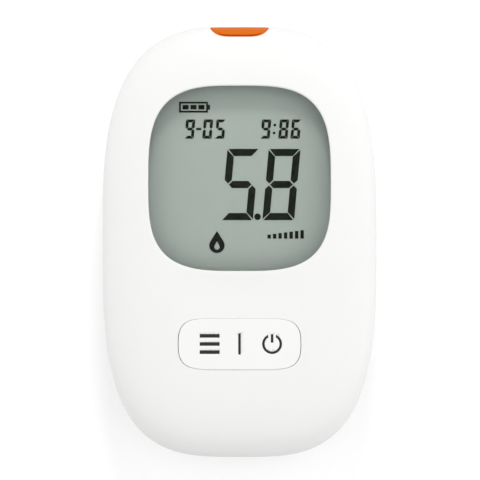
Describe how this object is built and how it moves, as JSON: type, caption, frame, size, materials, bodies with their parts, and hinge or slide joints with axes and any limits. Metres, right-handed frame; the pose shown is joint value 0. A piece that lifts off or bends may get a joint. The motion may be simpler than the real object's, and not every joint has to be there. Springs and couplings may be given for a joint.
{
  "type": "blood glucose meter",
  "caption": "Hand-held egg-shaped meter case with a deep-set display, one rocking key, an orange strip port at the end and a sliding battery cover behind.",
  "frame": {"origin": "middle of the back face, at the bottom centre of the meter as it lies on its back", "axes": "+Z out of the display, +Y along the case to the test strip end, +X to the right of the display when it is read"},
  "size_m": [0.061, 0.0958, 0.0242],
  "materials": {
    "case_white": "fine satin gloss",
    "key_white": "gloss",
    "legend_grey": "matte",
    "window_clear": "clear polished",
    "gasket_foam": "closed-cell foam",
    "display_glass": "clear polished",
    "figure_ink": "dark, printed-looking",
    "reflector_sheet": "fine satin sheet",
    "holder_plastic": "moulded",
    "elastomer": "striped elastomer",
    "mat_silicone": "silicone",
    "port_orange": "satin gloss",
    "connector_black": "moulded",
    "contact_gold": "gold plated",
    "board_green": "solder mask",
    "chip_black": "moulded epoxy",
    "crystal_can": "drawn can",
    "passive_tan": "ceramic",
    "cell_steel": "plain metallic sleeve",
    "contact_nickel": "nickel plated",
    "spring_steel": "nickel plated",
    "label_film": "blank film",
    "screw_steel": "zinc plated"
  },
  "bodies": {
    "case": {"front_cover": "case_white", "rear_cover": "case_white", "display_window": "window_clear", "window_gasket": "gasket_foam", "display_front_glass": "display_glass", "display_rear_glass": "display_glass", "display_figures": "figure_ink", "display_reflector": "reflector_sheet", "display_holder": "holder_plastic", "elastomer_connector": "elastomer", "key_mat": "mat_silicone", "strip_port": "port_orange", "strip_connector": "connector_black", "buzzer": "connector_black", "strip_contacts": "contact_gold", "circuit_board": "board_green", "microcontroller": "chip_black", "amplifier_chip": "chip_black", "memory_chip": "chip_black", "crystal": "crystal_can", "board_passives": "passive_tan", "battery_cell_left": "cell_steel", "battery_cell_right": "cell_steel", "positive_contact": "contact_nickel", "negative_contact": "contact_nickel", "bridge_contact": "contact_nickel", "battery_springs": "spring_steel", "rating_label": "label_film", "case_screws": "screw_steel", "board_screws": "screw_steel"},
    "key": {"key_cap": "key_white", "key_legends": "legend_grey"},
    "battery_door": {"battery_cover": "case_white"}
  },
  "joints": [
    {"name": "key_rock", "type": "hinge", "parent": "case", "child": "key", "pos_m": [0, -0.0227, 0.02042], "axis": [0, 1, 0], "range_deg": [-2.2, 2.2], "stiffness_Nm_per_rad": 0.3, "deforming": ["key_mat"]},
    {"name": "battery_cover_slide", "type": "slide", "parent": "case", "child": "battery_door", "axis": [0, -1, 0], "range_m": [0, 0.05]}
  ]
}
